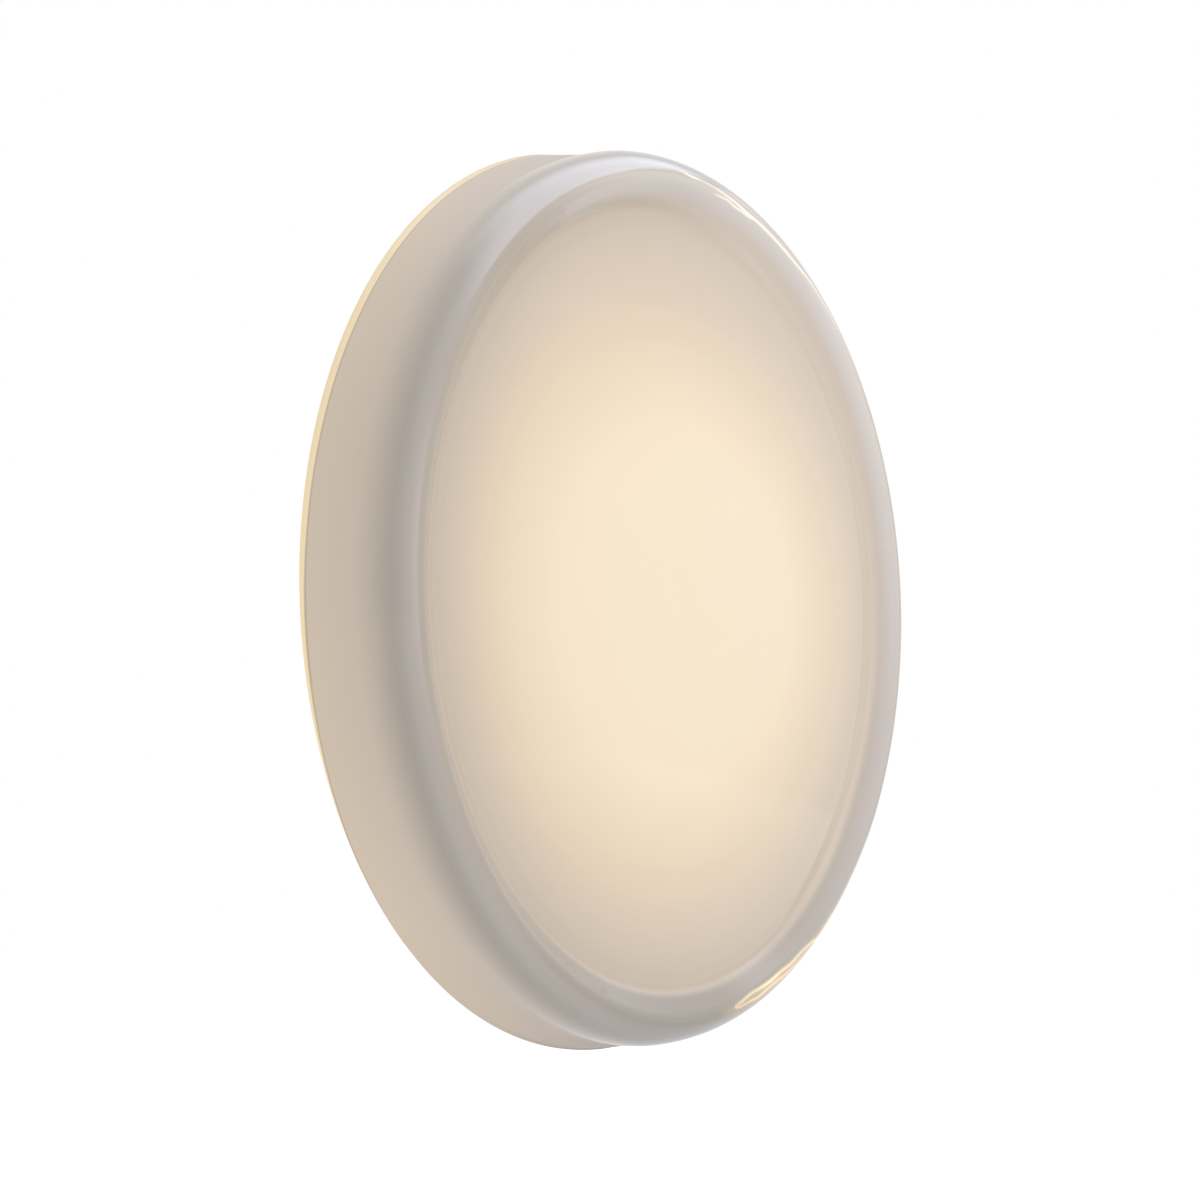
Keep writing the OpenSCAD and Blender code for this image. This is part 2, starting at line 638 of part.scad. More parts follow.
// Both neutral leads leave the left pole, and one crosses over to the right lamp
module neutral_leads() {
    color("steelblue") on_wall() {
        tube(rounded(concat(pole_end(-pole_pitch + side_by_side), [[-1, -22, pan_top + 8],
            [3.6, -12, pan_top + 9]], holder_end(1, -1)), 1.6, 3), lead_r);
        tube(rounded(concat(pole_end(-pole_pitch - side_by_side), [[-7, -21, pan_top + 4.5],
            [-5.4, -10, pan_top + 7]], holder_end(-1, -1)), 2, 3), lead_r);
    }
}

tag_ring_r = 4;
tag_l = 12;
tag_t = 0.8;
tag_end = [earth_x - tag_l, -earth_drop];
barrel_l = 5.5;
barrel_lift = lead_r + 0.3;    // the barrel's axis above its tag

// The earth lead leaves the middle pole downwards and turns up to the tag
module earth_lead() {
    barrel_z = pan_top + tag_t + barrel_lift;
    below = -block_drop - block_l / 2;
    color("yellowgreen") on_wall()
        tube(rounded([[0, below + block_l / 3, pole_z], [0, below - earth_run, pole_z],
            [earth_x / 7, below - earth_loop, pan_top + 5 * lead_r],
            [earth_x / 2.6, below - earth_loop + lead_r, pan_top + 3.2 * lead_r],
            [tag_end[0] - tag_l / 2, -earth_drop, barrel_z],
            [tag_end[0] + barrel_l - fit_gap, -earth_drop, barrel_z]],
            earth_run / 2, 4), lead_r);
}

// Tinned ring terminal, crimped on the earth lead and held by the earth screw
module earth_tag() {
    barrel_r = lead_r + 0.1;
    color("silver") on_wall() translate([0, 0, pan_top]) {
        difference() {
            union() {
                translate([earth_x, -earth_drop, 0]) cylinder(r = tag_ring_r, h = tag_t, $fn = 32);
                translate([tag_end[0], -earth_drop - 1.6, 0]) cube([tag_l - 2, 3.2, tag_t]);
                translate([tag_end[0], -earth_drop, tag_t + barrel_lift]) rotate([0, 90, 0])
                    cylinder(r = barrel_r + 0.6, h = barrel_l, $fn = 24);
            }
            translate([earth_x, -earth_drop, -through])
                cylinder(r = screw_r + fit_gap, h = tag_t + 2 * through, $fn = 24);
            translate([tag_end[0] - through, -earth_drop, tag_t + barrel_lift]) rotate([0, 90, 0])
                cylinder(r = barrel_r, h = barrel_l + 2 * through, $fn = 24);
        }
    }
}

washer_t = 0.8;

module earth_washer() {
    color("silver") on_wall() translate([earth_x, -earth_drop, pan_top + tag_t]) difference() {
        cylinder(r = tag_ring_r, h = washer_t, $fn = 32);
        translate([0, 0, -through]) cylinder(r = screw_r + fit_gap, h = washer_t + 2 * through, $fn = 24);
        rotate([0, 0, 30]) translate([0, -0.4, -through])
            cube([tag_ring_r + through, 0.8, washer_t + 2 * through]);
    }
}

module earth_screw() {
    color("seagreen") on_wall() translate([earth_x, -earth_drop, pan_top + tag_t + washer_t])
        pan_screw(screw_r, screw_l + 1, true);
}

glass_shade();
wall_plate();
edge_gasket();
retaining_springs();
spring_rivets();
lamp_bracket();
bracket_screws();
lamp_holders();
holder_screws();
socket_contacts();
lamp_capsules();
lamp_pins();
lamp_filaments();
terminal_block();
terminal_sleeves();
terminal_screws();
block_screw();
cable_grommet();
live_leads();
neutral_leads();
earth_lead();
earth_tag();
earth_washer();
earth_screw();
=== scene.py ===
# Round wall light in opal glass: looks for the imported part, in metres.
# The wall is the plane Y = 0, the light faces -Y and +Z is up.
import math

import bpy
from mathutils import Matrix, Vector


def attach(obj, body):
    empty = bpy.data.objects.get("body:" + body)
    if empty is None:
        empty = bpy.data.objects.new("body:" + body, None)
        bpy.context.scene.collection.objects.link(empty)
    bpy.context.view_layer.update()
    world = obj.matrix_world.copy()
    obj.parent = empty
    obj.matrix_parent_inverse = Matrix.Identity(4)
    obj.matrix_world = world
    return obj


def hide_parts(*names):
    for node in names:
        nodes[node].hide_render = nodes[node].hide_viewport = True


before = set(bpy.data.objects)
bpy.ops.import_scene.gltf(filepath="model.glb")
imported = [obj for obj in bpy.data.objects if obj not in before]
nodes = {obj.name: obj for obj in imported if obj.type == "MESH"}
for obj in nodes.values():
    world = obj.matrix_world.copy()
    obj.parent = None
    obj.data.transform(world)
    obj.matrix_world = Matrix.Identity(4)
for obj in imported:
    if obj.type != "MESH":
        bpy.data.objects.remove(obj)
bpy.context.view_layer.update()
scene = bpy.context.scene


def linearColour(hexText):  # sRGB hex to the linear colour that Blender wants
    parts = [int(hexText[i:i + 2], 16) / 255 for i in (0, 2, 4)]
    return [c / 12.92 if c <= 0.04045 else ((c + 0.055) / 1.055) ** 2.4 for c in parts] + [1.0]


def perMetre(sizeMm):  # texture scale that gives a pattern this size in millimetres
    return 1000.0 / sizeMm


def addNode(tree, kind, settings=None, inputs=None):  # a node with its settings, values and links
    node = tree.nodes.new(kind)
    for name, value in (settings or {}).items():
        setattr(node, name, value)
    for key, value in (inputs or {}).items():
        if isinstance(value, bpy.types.NodeSocket):
            tree.links.new(value, node.inputs[key])
        else:
            node.inputs[key].default_value = value
    return node


def setCurve(node, points):  # bends a float curve through these points
    line = node.mapping.curves[0]
    for place, value in points[1:-1]:
        line.points.new(place, value)
    for spot, (place, value) in zip(line.points, points):
        spot.location = (place, value)
    node.mapping.update()


def setStops(node, stops, interpolation="LINEAR"):  # places a colour ramp's stops
    ramp = node.color_ramp
    ramp.interpolation = interpolation
    while len(ramp.elements) < len(stops):
        ramp.elements.new(1.0)
    for element, (place, colour) in zip(ramp.elements, stops):
        element.position = place
        element.color = list(colour[:3]) + [1.0]


def newMaterial(name):
    material = bpy.data.materials.new(name)
    material.use_nodes = True
    material.node_tree.nodes.clear()
    return material, material.node_tree


def aimedAt(place, aim):  # the turn that points a camera or a lamp at a spot
    return (Vector(aim) - Vector(place)).to_track_quat("-Z", "Y").to_euler()


def seenByEye(tree):  # 1 for what the camera, gloss or clear glass sees, 0 for what only gives light
    ray = addNode(tree, "ShaderNodeLightPath")
    seen = addNode(tree, "ShaderNodeMath", {"operation": "ADD"},
                   {0: ray.outputs["Is Camera Ray"], 1: ray.outputs["Is Glossy Ray"]})
    seen = addNode(tree, "ShaderNodeMath", {"operation": "ADD", "use_clamp": True},
                   {0: seen.outputs[0], 1: ray.outputs["Is Transmission Ray"]})
    return seen.outputs[0]


# camera, at the photograph's angle
print("camera")
cameraView = {"place": (-0.8005, -0.5772, -0.0704), "aim": (-0.00045, 0.0, 0.0001), "lens": 75.36, "film": 36.0,
              "farthest": 60.0}
camera = bpy.data.objects.new("photoCamera", bpy.data.cameras.new("photoCamera"))
camera.data.lens = cameraView["lens"]
camera.data.sensor_width = cameraView["film"]
camera.data.clip_end = cameraView["farthest"]
camera.location = cameraView["place"]
camera.rotation_euler = aimedAt(cameraView["place"], cameraView["aim"])
scene.collection.objects.link(camera)
scene.camera = camera

# glass shade: a section of tangent arcs, turned round the light's axis
print("glass shade")
shadeSize = {
    # the section, in metres and degrees
    "footRadius": 0.17499, "glass": 0.0045, "wallGap": 0.0005, "footBand": 0.0023, "bandStep": 0.0005,
    "edgeRound": 0.0006, "sideLean": 10.0, "waistRadius": 0.032, "rimInset": 0.003, "rollRadius": 0.0176,
    "rimDepth": 0.0287, "crestStart": 54.0, "crestRadius": 0.0053, "creaseInset": 0.0247, "creaseDepth": 0.0369,
    "creaseRound": 0.0012, "domeRise": 0.01229, "lipWidth": 0.013, "lipThickness": 0.005, "lipRound": 0.0015,
    # steps along its arcs, and round the axis
    "domeSteps": 44, "crestSteps": 16, "rollSteps": 34, "waistSteps": 20, "bandSteps": 3, "edgeSteps": 5,
    "waistInside": 8, "rollInside": 20, "crestInside": 6, "creaseInside": 8, "domeInside": 24, "turns": 300,
    # points nearer than this become one, which closes the seam and the poles
    "weld": 0.000005,
    # slow wave of mouth-blown glass: height, length and seed, and the depths between which it fades in
    "waveHeight": 0.00004, "waveLength": 0.07, "waveSeed": 4.0, "waveDepth": (0.006, 0.02),
    # out of round, as (turn from +X towards +Z, millimetres out), the most that it can hold either way, and the
    # depths between which it comes in
    "footTrue": [(0.0, 0.0), (0.22, -0.5), (0.272, -0.9), (0.292, -0.3), (0.31, 0.0), (0.5, 0.0), (0.64, 0.0),
                 (0.7, -0.3), (0.74, -0.45), (0.8, -0.3), (1.0, 0.0)],
    "rimTrue": [(0.0, 0.3), (0.08, 0.3), (0.2, 0.2), (0.25, 0.1), (0.28, 0.0), (0.305, -0.4), (0.35, 0.0),
                (0.68, 0.0), (0.73, -0.3), (0.77, -1.0), (0.87, -1.1), (0.91, -0.2), (0.95, 0.0), (1.0, 0.3)],
    "trueMost": 2.0, "footTrueDepth": (0.012, 0.004), "rimTrueDepth": (0.010, 0.022),
    # the face stays true, and the rest leaves it between these radii
    "trueRadius": (0.13, 0.166),
}


def polar(degrees):
    return Vector((math.cos(math.radians(degrees)), math.sin(math.radians(degrees))))


def arcPoints(centre, radius, start, end, count):
    return [centre + radius * polar(start + (end - start) * i / count) for i in range(count + 1)]


def roundedCorner(start, corner, end, shares):  # a soft corner, as points at these shares of its way
    return [(1 - k) ** 2 * start + 2 * k * (1 - k) * corner + k ** 2 * end for k in shares]


def shadeSection(size):  # (radius, depth) from the face's middle, round the foot, and back inside
    t = size["glass"]
    footTop = size["wallGap"] + size["footBand"]
    sideFoot = Vector((size["footRadius"] - size["bandStep"], footTop + size["bandStep"] / 2))
    sideOut, sideUp = polar(size["sideLean"]), polar(size["sideLean"] + 90)
    roll = Vector((size["footRadius"] - size["rimInset"] - size["rollRadius"], size["rimDepth"]))
    across = sideFoot + size["waistRadius"] * sideOut - roll
    along = -across.dot(sideUp) - math.sqrt(across.dot(sideUp) ** 2 - across.length_squared
                                            + (size["rollRadius"] + size["waistRadius"]) ** 2)
    waist = sideFoot + along * sideUp + size["waistRadius"] * sideOut
    waistEnd = math.degrees(math.atan2(waist.y - roll.y, waist.x - roll.x))
    crest = roll + (size["rollRadius"] - size["crestRadius"]) * polar(size["crestStart"])
    crease = Vector((size["footRadius"] - size["creaseInset"], size["creaseDepth"]))
    reach = crease - crest
    crestEnd = 360 + math.degrees(math.atan2(reach.y, reach.x) - math.acos(size["crestRadius"] / reach.length))
    domeRadius = (crease.x ** 2 + size["domeRise"] ** 2) / (2 * size["domeRise"])
    dome = Vector((0.0, crease.y + size["domeRise"] - domeRadius))
    domeEdge = math.degrees(math.atan2(crease.y - dome.y, crease.x))
    lipRadius = size["footRadius"] - size["lipWidth"]
    lipTop = size["wallGap"] + size["lipThickness"]
    edge = size["edgeRound"]
    # a small fillet softens the crease, as the glass flowed there
    soft = size["creaseRound"]
    domeStop = domeEdge + math.degrees(soft / domeRadius)
    slope = (crest + size["crestRadius"] * polar(crestEnd) - crease).normalized()
    outer = arcPoints(dome, domeRadius, 90, domeStop, size["domeSteps"])[:-1]
    outer += roundedCorner(dome + domeRadius * polar(domeStop), crease, crease + soft * slope,
                           (0.0, 0.17, 0.33, 0.5, 0.67, 0.83, 1.0))
    outer += arcPoints(crest, size["crestRadius"], crestEnd, size["crestStart"], size["crestSteps"])
    outer += arcPoints(roll, size["rollRadius"], size["crestStart"], waistEnd, size["rollSteps"])[1:]
    outer += arcPoints(waist, size["waistRadius"], 180 + waistEnd, 180 + size["sideLean"],
                       size["waistSteps"])[1:]
    outer += [outer[-1] + (sideFoot - outer[-1]) * k for k in (0.25, 0.5, 0.75, 0.94)]
    # the foot band stands out a little, behind a small step
    outer += [sideFoot, sideFoot.lerp(Vector((size["footRadius"], footTop)), 0.6)]
    outer += arcPoints(Vector((size["footRadius"] - edge / 2, footTop - edge / 2)), edge / 2, 70, 0,
                       size["bandSteps"])
    outer += arcPoints(Vector((size["footRadius"] - edge, size["wallGap"] + edge)), edge, 0, -90,
                       size["edgeSteps"])
    lip = arcPoints(Vector((lipRadius + edge, size["wallGap"] + edge)), edge, -90, -180, size["edgeSteps"])
    lip += arcPoints(Vector((lipRadius + edge, lipTop - edge)), edge, 180, 90, size["edgeSteps"])
    sideIn = sideFoot - t * sideOut
    sideLow = sideIn + (lipTop - sideIn.y) / sideUp.y * sideUp
    lip += roundedCorner(sideLow + size["lipRound"] * Vector((-1, 0)), sideLow,
                         sideLow + size["lipRound"] * sideUp, (0.0, 0.25, 0.5, 0.75, 1.0))
    inner = arcPoints(waist, size["waistRadius"] + t, 180 + size["sideLean"], 180 + waistEnd,
                      size["waistInside"])
    inner += arcPoints(roll, size["rollRadius"] - t, waistEnd, size["crestStart"], size["rollInside"])[1:]
    inner += arcPoints(crest, size["crestRadius"] - t, size["crestStart"], crestEnd, size["crestInside"])[1:]
    inner += arcPoints(crease, -t, crestEnd, domeEdge, size["creaseInside"])[1:]
    inner += arcPoints(dome, domeRadius - t, domeEdge, 90, size["domeInside"])[1:]
    return outer + lip + inner


def sectionCurve(points, name):
    curve = bpy.data.curves.new(name, "CURVE")
    curve.dimensions = "3D"
    spline = curve.splines.new("POLY")
    spline.points.add(len(points) - 1)
    for place, point in zip(spline.points, points):
        place.co = (max(point.x, 0.0), point.y, 0.0, 1.0)
    holder = bpy.data.objects.new(name, curve)
    scene.collection.objects.link(holder)
    return holder


def revolveTree(size):  # turns a section round the light's axis and closes the seam and the poles
    tree = bpy.data.node_groups.new("revolveSection", "GeometryNodeTree")
    sockets = tree.interface
    sockets.new_socket("Section", in_out="INPUT", socket_type="NodeSocketGeometry")
    for name, kind, value in (("Turns", "NodeSocketInt", size["turns"]),
                              ("Wave Height", "NodeSocketFloat", size["waveHeight"]),
                              ("Wave Length", "NodeSocketFloat", size["waveLength"]),
                              ("Seed", "NodeSocketFloat", size["waveSeed"]),
                              ("Glass", "NodeSocketMaterial", None)):
        socket = sockets.new_socket(name, in_out="INPUT", socket_type=kind)
        if value is not None:
            socket.default_value = value
    sockets.new_socket("Shade", in_out="OUTPUT", socket_type="NodeSocketGeometry")
    given = addNode(tree, "NodeGroupInput")
    count = addNode(tree, "GeometryNodeAttributeDomainSize", {"component": "CURVE"},
                    {"Geometry": given.outputs["Section"]})
    ringCount = addNode(tree, "ShaderNodeMath", {"operation": "ADD"}, {0: given.outputs["Turns"], 1: 1.0})
    grid = addNode(tree, "GeometryNodeMeshGrid", None,
                   {"Vertices X": ringCount.outputs[0], "Vertices Y": count.outputs["Point Count"]})
    index = addNode(tree, "GeometryNodeInputIndex")
    row = addNode(tree, "FunctionNodeIntegerMath", {"operation": "MODULO"},
                  {0: index.outputs[0], 1: count.outputs["Point Count"]})
    column = addNode(tree, "FunctionNodeIntegerMath", {"operation": "DIVIDE"},
                     {0: index.outputs[0], 1: count.outputs["Point Count"]})
    place = addNode(tree, "GeometryNodeInputPosition")
    point = addNode(tree, "GeometryNodeSampleIndex", {"data_type": "FLOAT_VECTOR", "domain": "POINT"},
                    {"Geometry": given.outputs["Section"], "Value": place.outputs[0], "Index": row.outputs[0]})
    parts = addNode(tree, "ShaderNodeSeparateXYZ", None, {0: point.outputs[0]})
    share = addNode(tree, "ShaderNodeMath", {"operation": "DIVIDE"},
                    {0: column.outputs[0], 1: given.outputs["Turns"]})
    angle = addNode(tree, "ShaderNodeMath", {"operation": "MULTIPLY"}, {0: share.outputs[0], 1: math.tau})
    cosine = addNode(tree, "ShaderNodeMath", {"operation": "COSINE"}, {0: angle.outputs[0]})
    sine = addNode(tree, "ShaderNodeMath", {"operation": "SINE"}, {0: angle.outputs[0]})
    # the ring came off the mould slightly out of round, the foot and the rim each in their own way
    offsets = []
    most = size["trueMost"]
    for points, span in ((size["footTrue"], size["footTrueDepth"]), (size["rimTrue"], size["rimTrueDepth"])):
        bend = addNode(tree, "ShaderNodeFloatCurve", None, {"Value": share.outputs[0]})
        setCurve(bend, [(turn, 0.5 + mm / (2 * most)) for turn, mm in points])
        metres = addNode(tree, "ShaderNodeMapRange", None,
                         {"Value": bend.outputs[0], "To Min": -most / 1000, "To Max": most / 1000})
        level = addNode(tree, "ShaderNodeMapRange", {"interpolation_type": "SMOOTHSTEP"},
                        {"Value": parts.outputs[1], "From Min": span[0], "From Max": span[1]})
        offsets.append(addNode(tree, "ShaderNodeMath", {"operation": "MULTIPLY"},
                               {0: metres.outputs[0], 1: level.outputs[0]}).outputs[0])
    offset = addNode(tree, "ShaderNodeMath", {"operation": "ADD"}, {0: offsets[0], 1: offsets[1]})
    outside = addNode(tree, "ShaderNodeMapRange", {"interpolation_type": "SMOOTHSTEP"},
                      {"Value": parts.outputs[0], "From Min": size["trueRadius"][0],
                       "From Max": size["trueRadius"][1]})
    offset = addNode(tree, "ShaderNodeMath", {"operation": "MULTIPLY"},
                     {0: offset.outputs[0], 1: outside.outputs[0]})
    radius = addNode(tree, "ShaderNodeMath", {"operation": "ADD"}, {0: parts.outputs[0], 1: offset.outputs[0]})
    products = ((radius.outputs[0], cosine.outputs[0]), (parts.outputs[1], -1.0),
                (radius.outputs[0], sine.outputs[0]))
    turned = addNode(tree, "ShaderNodeCombineXYZ", None, {
        k: addNode(tree, "ShaderNodeMath", {"operation": "MULTIPLY"}, {0: one, 1: other}).outputs[0]
        for k, (one, other) in enumerate(products)})
    shaped = addNode(tree, "GeometryNodeSetPosition", None,
                     {"Geometry": grid.outputs["Mesh"], "Position": turned.outputs[0]})
    closed = addNode(tree, "GeometryNodeMergeByDistance", None,
                     {"Geometry": shaped.outputs[0], "Distance": size["weld"]})
    # mouth-blown glass is never quite true: a slow wave that fades out towards the wall
    waveScale = addNode(tree, "ShaderNodeMath", {"operation": "DIVIDE"},
                        {0: 1.0, 1: given.outputs["Wave Length"]})
    here = addNode(tree, "GeometryNodeInputPosition")
    wave = addNode(tree, "ShaderNodeTexNoise", {"noise_dimensions": "4D"},
                   {"Vector": here.outputs[0], "W": given.outputs["Seed"], "Scale": waveScale.outputs[0],
                    "Detail": 1.0, "Roughness": 0.4})
    centred = addNode(tree, "ShaderNodeVectorMath", {"operation": "SUBTRACT"},
                      {0: wave.outputs["Color"], 1: (0.5, 0.5, 0.5)})
    hereParts = addNode(tree, "ShaderNodeSeparateXYZ", None, {0: here.outputs[0]})
    fade = addNode(tree, "ShaderNodeMapRange", {"interpolation_type": "SMOOTHSTEP"},
                   {"Value": hereParts.outputs[1], "From Min": -size["waveDepth"][0],
                    "From Max": -size["waveDepth"][1]})
    height = addNode(tree, "ShaderNodeMath", {"operation": "MULTIPLY"},
                     {0: fade.outputs[0], 1: given.outputs["Wave Height"]})
    shift = addNode(tree, "ShaderNodeVectorMath", {"operation": "SCALE"},
                    {0: centred.outputs[0], "Scale": height.outputs[0]})
    waved = addNode(tree, "GeometryNodeSetPosition", None,
                    {"Geometry": closed.outputs[0], "Offset": shift.outputs[0]})
    smooth = addNode(tree, "GeometryNodeSetShadeSmooth", None, {"Geometry": waved.outputs[0]})
    real = addNode(tree, "GeometryNodeRealizeInstances", None, {"Geometry": smooth.outputs[0]})
    glazed = addNode(tree, "GeometryNodeSetMaterial", None,
                     {"Geometry": real.outputs[0], "Material": given.outputs["Glass"]})
    addNode(tree, "NodeGroupOutput", None, {"Shade": glazed.outputs[0]})
    return tree


def grownMesh(holder, tree, values, name):  # runs a tree on an object and keeps the result as a plain mesh
    modifier = holder.modifiers.new(name, "NODES")
    modifier.node_group = tree
    for item in tree.interface.items_tree:
        if item.item_type == "SOCKET" and item.in_out == "INPUT" and item.name in values:
            modifier[item.identifier] = values[item.name]
    bpy.context.view_layer.update()
    seen = bpy.context.evaluated_depsgraph_get()
    mesh = bpy.data.meshes.new_from_object(holder.evaluated_get(seen), depsgraph=seen)
    holder.modifiers.remove(modifier)
    bpy.data.objects.remove(holder)
    mesh.name = name
    piece = bpy.data.objects.new(name, mesh)
    scene.collection.objects.link(piece)
    return piece


# the glass's glow is painted light: emission by place on the glass stands in for the lamps shining through it
shadeGlow = {
    # warm light of the lamps through the face, as (millimetres from its middle, tone)
    "face": [(0.0, "cebd9c"), (60.0, "cfbc9a"), (77.0, "cbb794"), (105.0, "bba583"), (120.0, "af997c"),
             (143.0, "96856f"), (148.5, "8f7e69"), (151.5, "7f6f5a"), (154.0, "7a6c5c"), (160.5, "6b5e4b")],
    # painted light and reflection over the right half of the rim, whose inner flank is seen full on
    "rim": [(143.0, "a5947f"), (146.0, "a59582"), (148.5, "a19280"), (151.5, "a49586"), (154.0, "a1958b"),
            (159.0, "aca8a8"), (161.0, "b1a8a1"), (163.0, "898074"), (165.0, "7c725e")],
    # and through the side wall, as (millimetres from the wall, tone): the foot's line of light, a painted
    # shadow line in the step, the wall, and painted shade in the waist
    "side": [(0.0, "d9c18c"), (2.7, "dac495"), (3.0, "8f7f66"), (3.4, "8f7f66"), (3.7, "aa9a86"),
             (23.0, "a09284"), (26.5, "978a7c"), (33.0, "7a7164"), (35.0, "6c665c"), (37.0, "635b53"),
             (39.0, "645f5b"), (41.0, "706d6a"), (43.0, "766d67")],
    "faceSpan": 180.0, "sideSpan": 50.0,  # millimetres that the ramps cover
    # the glow's middle in metres, and its squash in millimetres a metre: two lamps light more wide than high
    "middle": (-0.011, 0.0, -0.004), "squash": (920.0, 0.0, 1060.0),
    # millimetres from the middle: where the glow takes the light's own middle, where the right half of the rim
    # comes in, where the rim's share does, and where the side wall takes over from the rim
    "toTrueMiddle": (105.0, 150.0), "toFlank": (135.0, 143.0), "toShare": (150.0, 153.5),
    "toSide": (161.5, 165.0),
    # the flank's middle, half width and soft edge in degrees, the first two at the two radii of "flankAt"
    "flankAt": (143.0, 155.0), "flankMiddle": (0.0, 28.0), "flankReach": (38.0, 88.0), "flankEdge": 18.0,
    # share of the glow that the rim keeps, by degrees up from +X: it is shaded at the bottom
    "rimShare": [(-180, 0.98), (-150, 0.92), (-130, 0.69), (-110, 0.35), (-90, 0.29), (-70, 0.51), (-50, 0.46),
                 (-30, 0.58), (-10, 0.68), (15, 0.87), (45, 1.00), (75, 0.97), (100, 0.80), (120, 0.87),
                 (140, 1.00), (160, 1.00), (180, 0.98)],
    # share of the side wall's glow by metres left or right of the middle: the lamps lie left and right, so it
    # glows less above and below them; and at the top against the bottom between two heights, which paints the
    # top darker
    "sideShare": [(0.0, 0.25), (0.035, 0.5), (0.065, 0.74), (0.095, 0.9), (0.125, 1.0), (0.175, 1.0)],
    "topShare": 0.78, "topHeight": (-0.1, 0.1),
    # painted shade: the glow is cut down on the underside of the foot
    "under": 0.3, "underDepth": (0.5, 0.8),  # share on the underside of the foot, and where it ends
    # how much wider the foot's painted line of light is, in millimetres, by height in metres, the most either
    # way, and the millimetres from the wall between which it comes in
    "footTilt": [(-0.175, -3.2), (-0.1, -2.1), (-0.05, -0.8), (0.0, 0.0), (0.1, 1.1), (0.175, 1.6)],
    "footGlowMost": 4.0, "footGlowDepth": (9.0, 4.5), "wholeHeight": (-0.175, 0.175), "wholeSide": (0.0, 0.175),
    # painted highlights and glints: lines of painted light along the rim and the crease, each one's half width
    # in millimetres, its tint, and along it (degrees up from +X, millimetres from the middle, strength)
    "streaks": [
        (0.5, "fff6de", [(32, 162.9, 0.0), (38, 162.8, 0.15), (50, 162.4, 0.25), (57, 162.1, 0.32),
                         (61, 161.3, 0.38), (65, 161.0, 0.45), (73, 161.0, 0.5), (76, 161.0, 0.5),
                         (78, 161.5, 0.48), (82, 162.3, 0.45), (84, 162.6, 0.38), (86, 162.8, 0.3),
                         (88, 163.0, 0.36), (90, 163.1, 0.6), (92, 163.8, 0.25), (94, 164.2, 0.0)]),
        (0.4, "fff2d2", [(73.5, 161.0, 0.0), (75, 160.2, 0.3), (77, 160.1, 0.38), (79, 160.0, 0.38),
                         (81, 160.6, 0.38), (83, 160.3, 0.3), (84.5, 160.2, 0.0)]),
        (0.4, "fff2d2", [(70, 162.4, 0.0), (74, 163.2, 0.15), (80, 163.8, 0.25), (84, 163.9, 0.0)]),
        (1.3, "ead9d4", [(-128, 151.4, 0.0), (-112, 151.5, 0.06), (-90, 151.5, 0.1), (-70, 151.5, 0.08),
                         (-50, 151.5, 0.05), (-38, 151.5, 0.0)]),
        (1.9, "f0eef0", [(42, 163.4, 0.0), (56, 163.3, 0.13), (70, 163.2, 0.13), (85, 163.2, 0.1),
                         (100, 163.2, 0.11), (118, 163.0, 0.06), (134, 162.8, 0.0)]),
        (0.7, "ffedb8", [(-80, 160.9, 0.0), (-79, 160.6, 0.3), (-77, 159.8, 0.42), (-75, 159.3, 0.45),
                         (-73, 159.5, 0.55), (-70, 159.7, 0.68), (-67, 159.6, 0.55), (-64, 160.2, 0.45),
                         (-61, 160.2, 0.4), (-58, 161.3, 0.35), (-55, 163.6, 0.25), (-45, 164.2, 0.18),
                         (-35, 164.4, 0.0)]),
        (0.6, "ffe4a4", [(-80, 160.9, 0.0), (-79, 161.9, 0.3), (-76, 162.0, 0.36), (-74, 162.4, 0.45),
                         (-71, 161.8, 0.45), (-69, 161.7, 0.4), (-66, 162.2, 0.3), (-62, 162.6, 0.15),
                         (-58, 163.0, 0.0)]),
        (2.2, "ffcb78", [(-84, 161.9, 0.0), (-78, 161.7, 0.18), (-68, 162.2, 0.34), (-55, 163.4, 0.3),
                         (-40, 164.5, 0.0)]),
    ],
    # the radii that the streaks can lie between, and the millimetres from the wall where they come in
    "streakRadii": (150.0, 167.0), "streakDepth": (20.0, 34.0),
    # clear skin: weight and roughness on the side wall and on the face, the depths between which it changes,
    # and its index; milk: its two tones, the size of its clouds in millimetres and its roughness
    "skin": (0.4, 1.0), "skinRough": (0.3, 0.06), "skinDepth": (22.0, 33.0), "index": 1.52,
    "milk": ("a59d93", "a9a197"), "cloudMm": 40, "milkRough": 0.6,
}


def drawnAlong(tree, value, span, points, ends=(0.0, 1.0)):  # turns a value into a result, through these points
    along = addNode(tree, "ShaderNodeMapRange", None,
                    {"Value": value, "From Min": span[0], "From Max": span[1]})
    drawn = addNode(tree, "ShaderNodeFloatCurve", None, {"Value": along.outputs[0]})
    setCurve(drawn, [((spot - span[0]) / (span[1] - span[0]), (result - ends[0]) / (ends[1] - ends[0]))
                     for spot, result in points])
    return addNode(tree, "ShaderNodeMapRange", None,
                   {"Value": drawn.outputs[0], "To Min": ends[0], "To Max": ends[1]}).outputs[0]


